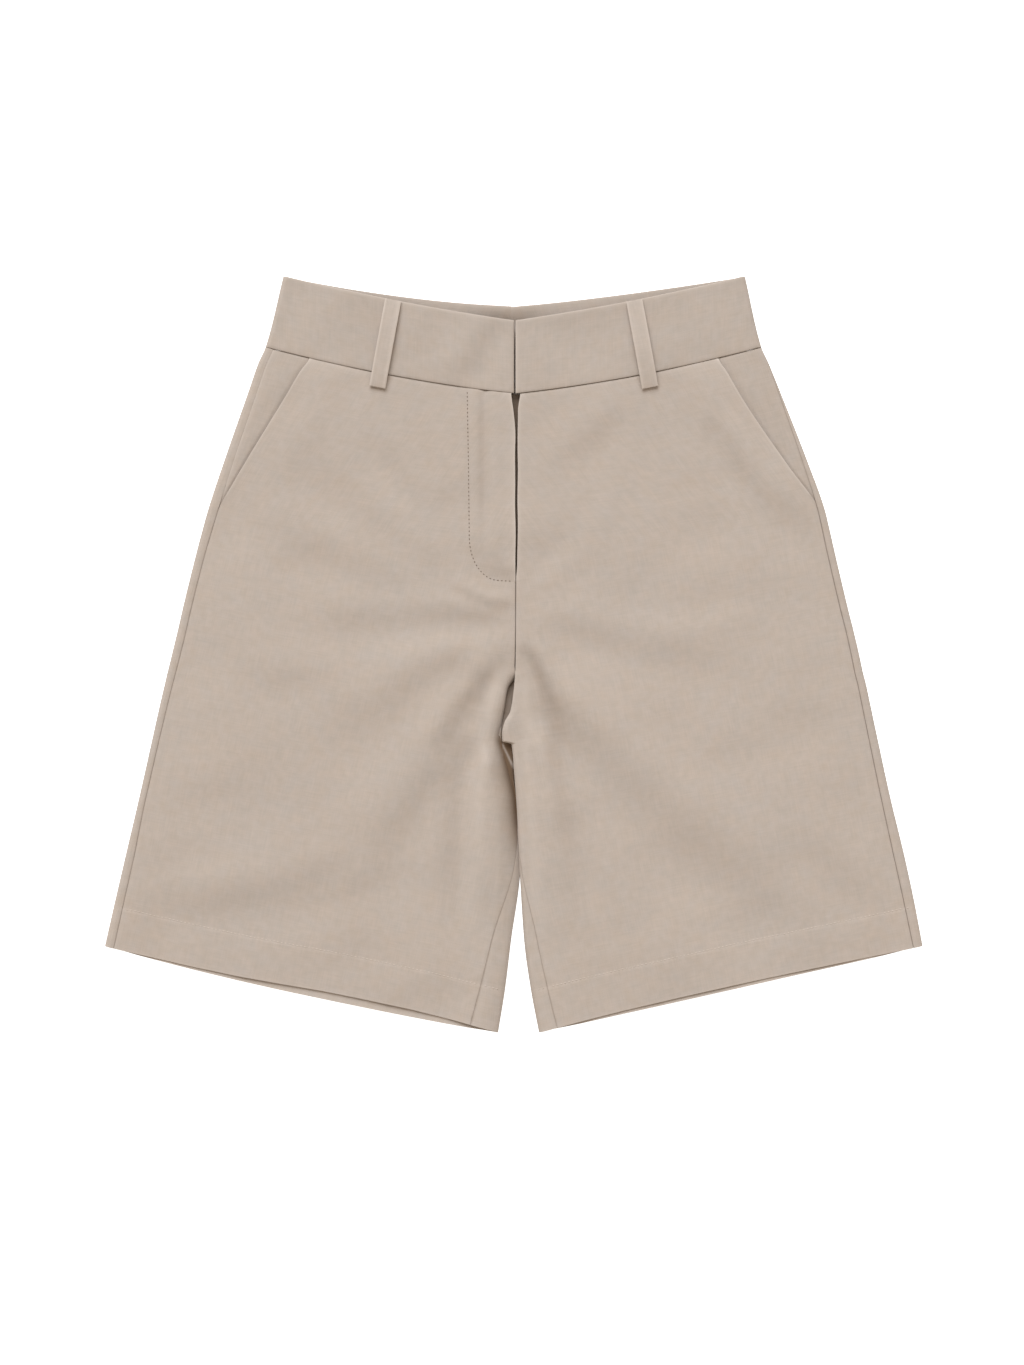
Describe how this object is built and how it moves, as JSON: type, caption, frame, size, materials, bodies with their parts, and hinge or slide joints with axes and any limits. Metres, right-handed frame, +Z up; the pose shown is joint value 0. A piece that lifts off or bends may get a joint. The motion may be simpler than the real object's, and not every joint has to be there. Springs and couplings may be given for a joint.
{
  "type": "bermuda shorts",
  "caption": "Knee-length woven bermuda shorts lying flat, front up, with waistband, fly, slant pockets, belt loops and wide straight legs.",
  "frame": {"origin": "middle of the garment's bounding box, on the surface it lies on", "axes": "+X across the garment towards the wearer's left, +Y from the hems to the waist, +Z up, out of the front"},
  "size_m": [0.622, 0.5738, 0.0145],
  "materials": {
    "panel_cloth": "fine matt plain weave, sand beige",
    "waistband_cloth": "fine matt plain weave, doubled, sand beige",
    "under_cloth": "fine matt plain weave, sand beige, in shade"
  },
  "bodies": {
    "root": {"back_left_seat": "panel_cloth", "back_left_leg": "panel_cloth", "back_right_seat": "panel_cloth", "back_right_leg": "panel_cloth", "front_left": "panel_cloth", "front_right": "panel_cloth", "waistband_left": "waistband_cloth", "waistband_right": "waistband_cloth", "belt_loop_left": "waistband_cloth", "belt_loop_right": "waistband_cloth", "pocket_facing_left": "under_cloth", "pocket_facing_right": "under_cloth", "fly_shield": "under_cloth"}
  },
  "joints": []
}
